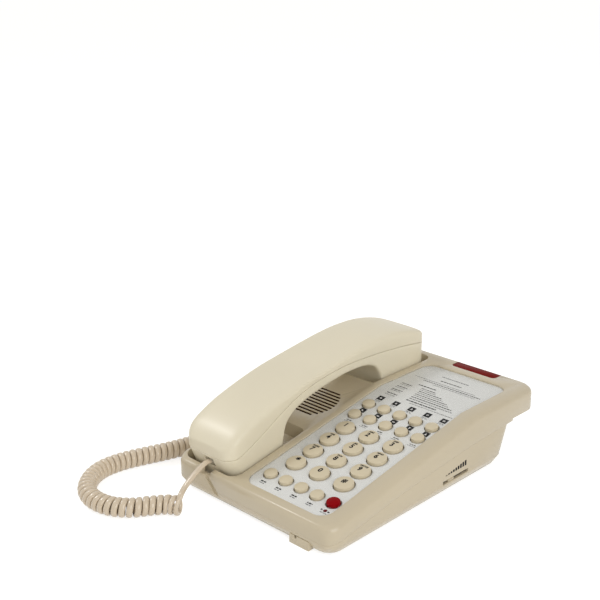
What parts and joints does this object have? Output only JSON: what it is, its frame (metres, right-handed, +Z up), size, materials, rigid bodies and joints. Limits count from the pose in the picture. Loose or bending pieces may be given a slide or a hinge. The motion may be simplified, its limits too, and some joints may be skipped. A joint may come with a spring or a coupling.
{
  "type": "corded desk telephone",
  "caption": "Ivory desk telephone: wedge base with sloped key panel, handset lying along the left in its cradle, message lamp and coiled handset cord.",
  "frame": {"origin": "centre of the base's footprint, at the underside of its rubber feet", "axes": "+Z up, +Y from the low front edge to the high rear edge with the lamp, +X to the user's right; the handset is on the -X side"},
  "size_m": [0.1887, 0.2799, 0.0773],
  "materials": {
    "housing_ivory": "fine moulded satin",
    "handset_ivory": "fine moulded satin",
    "key_ivory": "satin",
    "key_red": "glossy",
    "plunger_ivory": "satin",
    "card_white": "printed card",
    "cover_clear": "clear, glossy",
    "lamp_red": "translucent, glossy",
    "board_green": "solder mask",
    "membrane_grey": "matte",
    "dark_plastic": "matte",
    "jack_ivory": "satin",
    "foot_rubber": "matte",
    "steel": "zinc plated",
    "weight_iron": "raw",
    "plug_clear": "clear, glossy",
    "cord_tan": "soft, slightly glossy"
  },
  "bodies": {
    "base": {"upper_housing": "housing_ivory", "lower_housing": "housing_ivory", "faceplate_card": "card_white", "faceplate_cover": "cover_clear", "lamp_lens": "lamp_red", "lamp_board": "board_green", "base_speaker": "dark_plastic", "main_board": "board_green", "key_membrane": "membrane_grey", "hook_switch": "dark_plastic", "volume_control": "dark_plastic", "line_jack": "jack_ivory", "cord_jack": "jack_ivory", "base_microphone": "dark_plastic", "rubber_feet": "foot_rubber", "housing_screws": "steel", "cord_handset_lead": "cord_tan", "cord_coil": "cord_tan", "cord_base_lead": "cord_tan", "cord_base_plug": "plug_clear"},
    "handset": {"handset_top": "handset_ivory", "handset_bottom": "handset_ivory", "ear_speaker": "dark_plastic", "handset_microphone": "dark_plastic", "handset_weight": "weight_iron", "handset_jack": "jack_ivory", "handset_screws": "steel", "cord_handset_plug": "plug_clear"},
    "dial_key_1": {"dial_key_1": "key_ivory"},
    "dial_key_2": {"dial_key_2": "key_ivory"},
    "dial_key_3": {"dial_key_3": "key_ivory"},
    "dial_key_4": {"dial_key_4": "key_ivory"},
    "dial_key_5": {"dial_key_5": "key_ivory"},
    "dial_key_6": {"dial_key_6": "key_ivory"},
    "dial_key_7": {"dial_key_7": "key_ivory"},
    "dial_key_8": {"dial_key_8": "key_ivory"},
    "dial_key_9": {"dial_key_9": "key_ivory"},
    "dial_key_star": {"dial_key_star": "key_ivory"},
    "dial_key_0": {"dial_key_0": "key_ivory"},
    "dial_key_hash": {"dial_key_hash": "key_ivory"},
    "memory_key_1": {"memory_key_1": "key_ivory"},
    "memory_key_2": {"memory_key_2": "key_ivory"},
    "memory_key_3": {"memory_key_3": "key_ivory"},
    "memory_key_4": {"memory_key_4": "key_ivory"},
    "memory_key_5": {"memory_key_5": "key_ivory"},
    "memory_key_6": {"memory_key_6": "key_ivory"},
    "memory_key_7": {"memory_key_7": "key_ivory"},
    "memory_key_8": {"memory_key_8": "key_ivory"},
    "memory_key_9": {"memory_key_9": "key_ivory"},
    "memory_key_10": {"memory_key_10": "key_ivory"},
    "function_key_1": {"function_key_1": "key_ivory"},
    "function_key_2": {"function_key_2": "key_ivory"},
    "function_key_3": {"function_key_3": "key_ivory"},
    "function_key_4": {"function_key_4": "key_ivory"},
    "message_key": {"message_key": "key_red"},
    "hook_plunger": {"hook_plunger": "plunger_ivory"},
    "volume_slider": {"volume_slider": "housing_ivory"}
  },
  "joints": [
    {"name": "handset_lift", "type": "slide", "parent": "base", "child": "handset", "axis": [0, 0, 1], "range_m": [0, 0.1]},
    {"name": "hook_plunger_slide", "type": "slide", "parent": "base", "child": "hook_plunger", "axis": [0, 0, 1], "range_m": [0, 0.005]},
    {"name": "volume_slide", "type": "slide", "parent": "base", "child": "volume_slider", "axis": [0, 1, 0], "range_m": [-0.004, 0.014]},
    {"name": "dial_key_1_press", "type": "slide", "parent": "base", "child": "dial_key_1", "axis": [0, -0.1764, 0.9843], "range_m": [-0.0018, 0], "stiffness_N_per_m": 400, "springref_m": 0.001},
    {"name": "dial_key_2_press", "type": "slide", "parent": "base", "child": "dial_key_2", "axis": [0, -0.1764, 0.9843], "range_m": [-0.0018, 0], "stiffness_N_per_m": 400, "springref_m": 0.001},
    {"name": "dial_key_3_press", "type": "slide", "parent": "base", "child": "dial_key_3", "axis": [0, -0.1764, 0.9843], "range_m": [-0.0018, 0], "stiffness_N_per_m": 400, "springref_m": 0.001},
    {"name": "dial_key_4_press", "type": "slide", "parent": "base", "child": "dial_key_4", "axis": [0, -0.1764, 0.9843], "range_m": [-0.0018, 0], "stiffness_N_per_m": 400, "springref_m": 0.001},
    {"name": "dial_key_5_press", "type": "slide", "parent": "base", "child": "dial_key_5", "axis": [0, -0.1764, 0.9843], "range_m": [-0.0018, 0], "stiffness_N_per_m": 400, "springref_m": 0.001},
    {"name": "dial_key_6_press", "type": "slide", "parent": "base", "child": "dial_key_6", "axis": [0, -0.1764, 0.9843], "range_m": [-0.0018, 0], "stiffness_N_per_m": 400, "springref_m": 0.001},
    {"name": "dial_key_7_press", "type": "slide", "parent": "base", "child": "dial_key_7", "axis": [0, -0.1764, 0.9843], "range_m": [-0.0018, 0], "stiffness_N_per_m": 400, "springref_m": 0.001},
    {"name": "dial_key_8_press", "type": "slide", "parent": "base", "child": "dial_key_8", "axis": [0, -0.1764, 0.9843], "range_m": [-0.0018, 0], "stiffness_N_per_m": 400, "springref_m": 0.001},
    {"name": "dial_key_9_press", "type": "slide", "parent": "base", "child": "dial_key_9", "axis": [0, -0.1764, 0.9843], "range_m": [-0.0018, 0], "stiffness_N_per_m": 400, "springref_m": 0.001},
    {"name": "dial_key_star_press", "type": "slide", "parent": "base", "child": "dial_key_star", "axis": [0, -0.1764, 0.9843], "range_m": [-0.0018, 0], "stiffness_N_per_m": 400, "springref_m": 0.001},
    {"name": "dial_key_0_press", "type": "slide", "parent": "base", "child": "dial_key_0", "axis": [0, -0.1764, 0.9843], "range_m": [-0.0018, 0], "stiffness_N_per_m": 400, "springref_m": 0.001},
    {"name": "dial_key_hash_press", "type": "slide", "parent": "base", "child": "dial_key_hash", "axis": [0, -0.1764, 0.9843], "range_m": [-0.0018, 0], "stiffness_N_per_m": 400, "springref_m": 0.001},
    {"name": "memory_key_1_press", "type": "slide", "parent": "base", "child": "memory_key_1", "axis": [0, -0.1764, 0.9843], "range_m": [-0.0018, 0], "stiffness_N_per_m": 400, "springref_m": 0.001},
    {"name": "memory_key_2_press", "type": "slide", "parent": "base", "child": "memory_key_2", "axis": [0, -0.1764, 0.9843], "range_m": [-0.0018, 0], "stiffness_N_per_m": 400, "springref_m": 0.001},
    {"name": "memory_key_3_press", "type": "slide", "parent": "base", "child": "memory_key_3", "axis": [0, -0.1764, 0.9843], "range_m": [-0.0018, 0], "stiffness_N_per_m": 400, "springref_m": 0.001},
    {"name": "memory_key_4_press", "type": "slide", "parent": "base", "child": "memory_key_4", "axis": [0, -0.1764, 0.9843], "range_m": [-0.0018, 0], "stiffness_N_per_m": 400, "springref_m": 0.001},
    {"name": "memory_key_5_press", "type": "slide", "parent": "base", "child": "memory_key_5", "axis": [0, -0.1764, 0.9843], "range_m": [-0.0018, 0], "stiffness_N_per_m": 400, "springref_m": 0.001},
    {"name": "memory_key_6_press", "type": "slide", "parent": "base", "child": "memory_key_6", "axis": [0, -0.1764, 0.9843], "range_m": [-0.0018, 0], "stiffness_N_per_m": 400, "springref_m": 0.001},
    {"name": "memory_key_7_press", "type": "slide", "parent": "base", "child": "memory_key_7", "axis": [0, -0.1764, 0.9843], "range_m": [-0.0018, 0], "stiffness_N_per_m": 400, "springref_m": 0.001},
    {"name": "memory_key_8_press", "type": "slide", "parent": "base", "child": "memory_key_8", "axis": [0, -0.1764, 0.9843], "range_m": [-0.0018, 0], "stiffness_N_per_m": 400, "springref_m": 0.001},
    {"name": "memory_key_9_press", "type": "slide", "parent": "base", "child": "memory_key_9", "axis": [0, -0.1764, 0.9843], "range_m": [-0.0018, 0], "stiffness_N_per_m": 400, "springref_m": 0.001},
    {"name": "memory_key_10_press", "type": "slide", "parent": "base", "child": "memory_key_10", "axis": [0, -0.1764, 0.9843], "range_m": [-0.0018, 0], "stiffness_N_per_m": 400, "springref_m": 0.001},
    {"name": "function_key_1_press", "type": "slide", "parent": "base", "child": "function_key_1", "axis": [0, -0.1764, 0.9843], "range_m": [-0.0018, 0], "stiffness_N_per_m": 400, "springref_m": 0.001},
    {"name": "function_key_2_press", "type": "slide", "parent": "base", "child": "function_key_2", "axis": [0, -0.1764, 0.9843], "range_m": [-0.0018, 0], "stiffness_N_per_m": 400, "springref_m": 0.001},
    {"name": "function_key_3_press", "type": "slide", "parent": "base", "child": "function_key_3", "axis": [0, -0.1764, 0.9843], "range_m": [-0.0018, 0], "stiffness_N_per_m": 400, "springref_m": 0.001},
    {"name": "function_key_4_press", "type": "slide", "parent": "base", "child": "function_key_4", "axis": [0, -0.1764, 0.9843], "range_m": [-0.0018, 0], "stiffness_N_per_m": 400, "springref_m": 0.001},
    {"name": "message_key_press", "type": "slide", "parent": "base", "child": "message_key", "axis": [0, -0.1764, 0.9843], "range_m": [-0.0018, 0], "stiffness_N_per_m": 400, "springref_m": 0.001}
  ],
  "couplings": [
    {"joint": "hook_plunger_slide", "follows": "handset_lift", "ratio": 0.05}
  ]
}
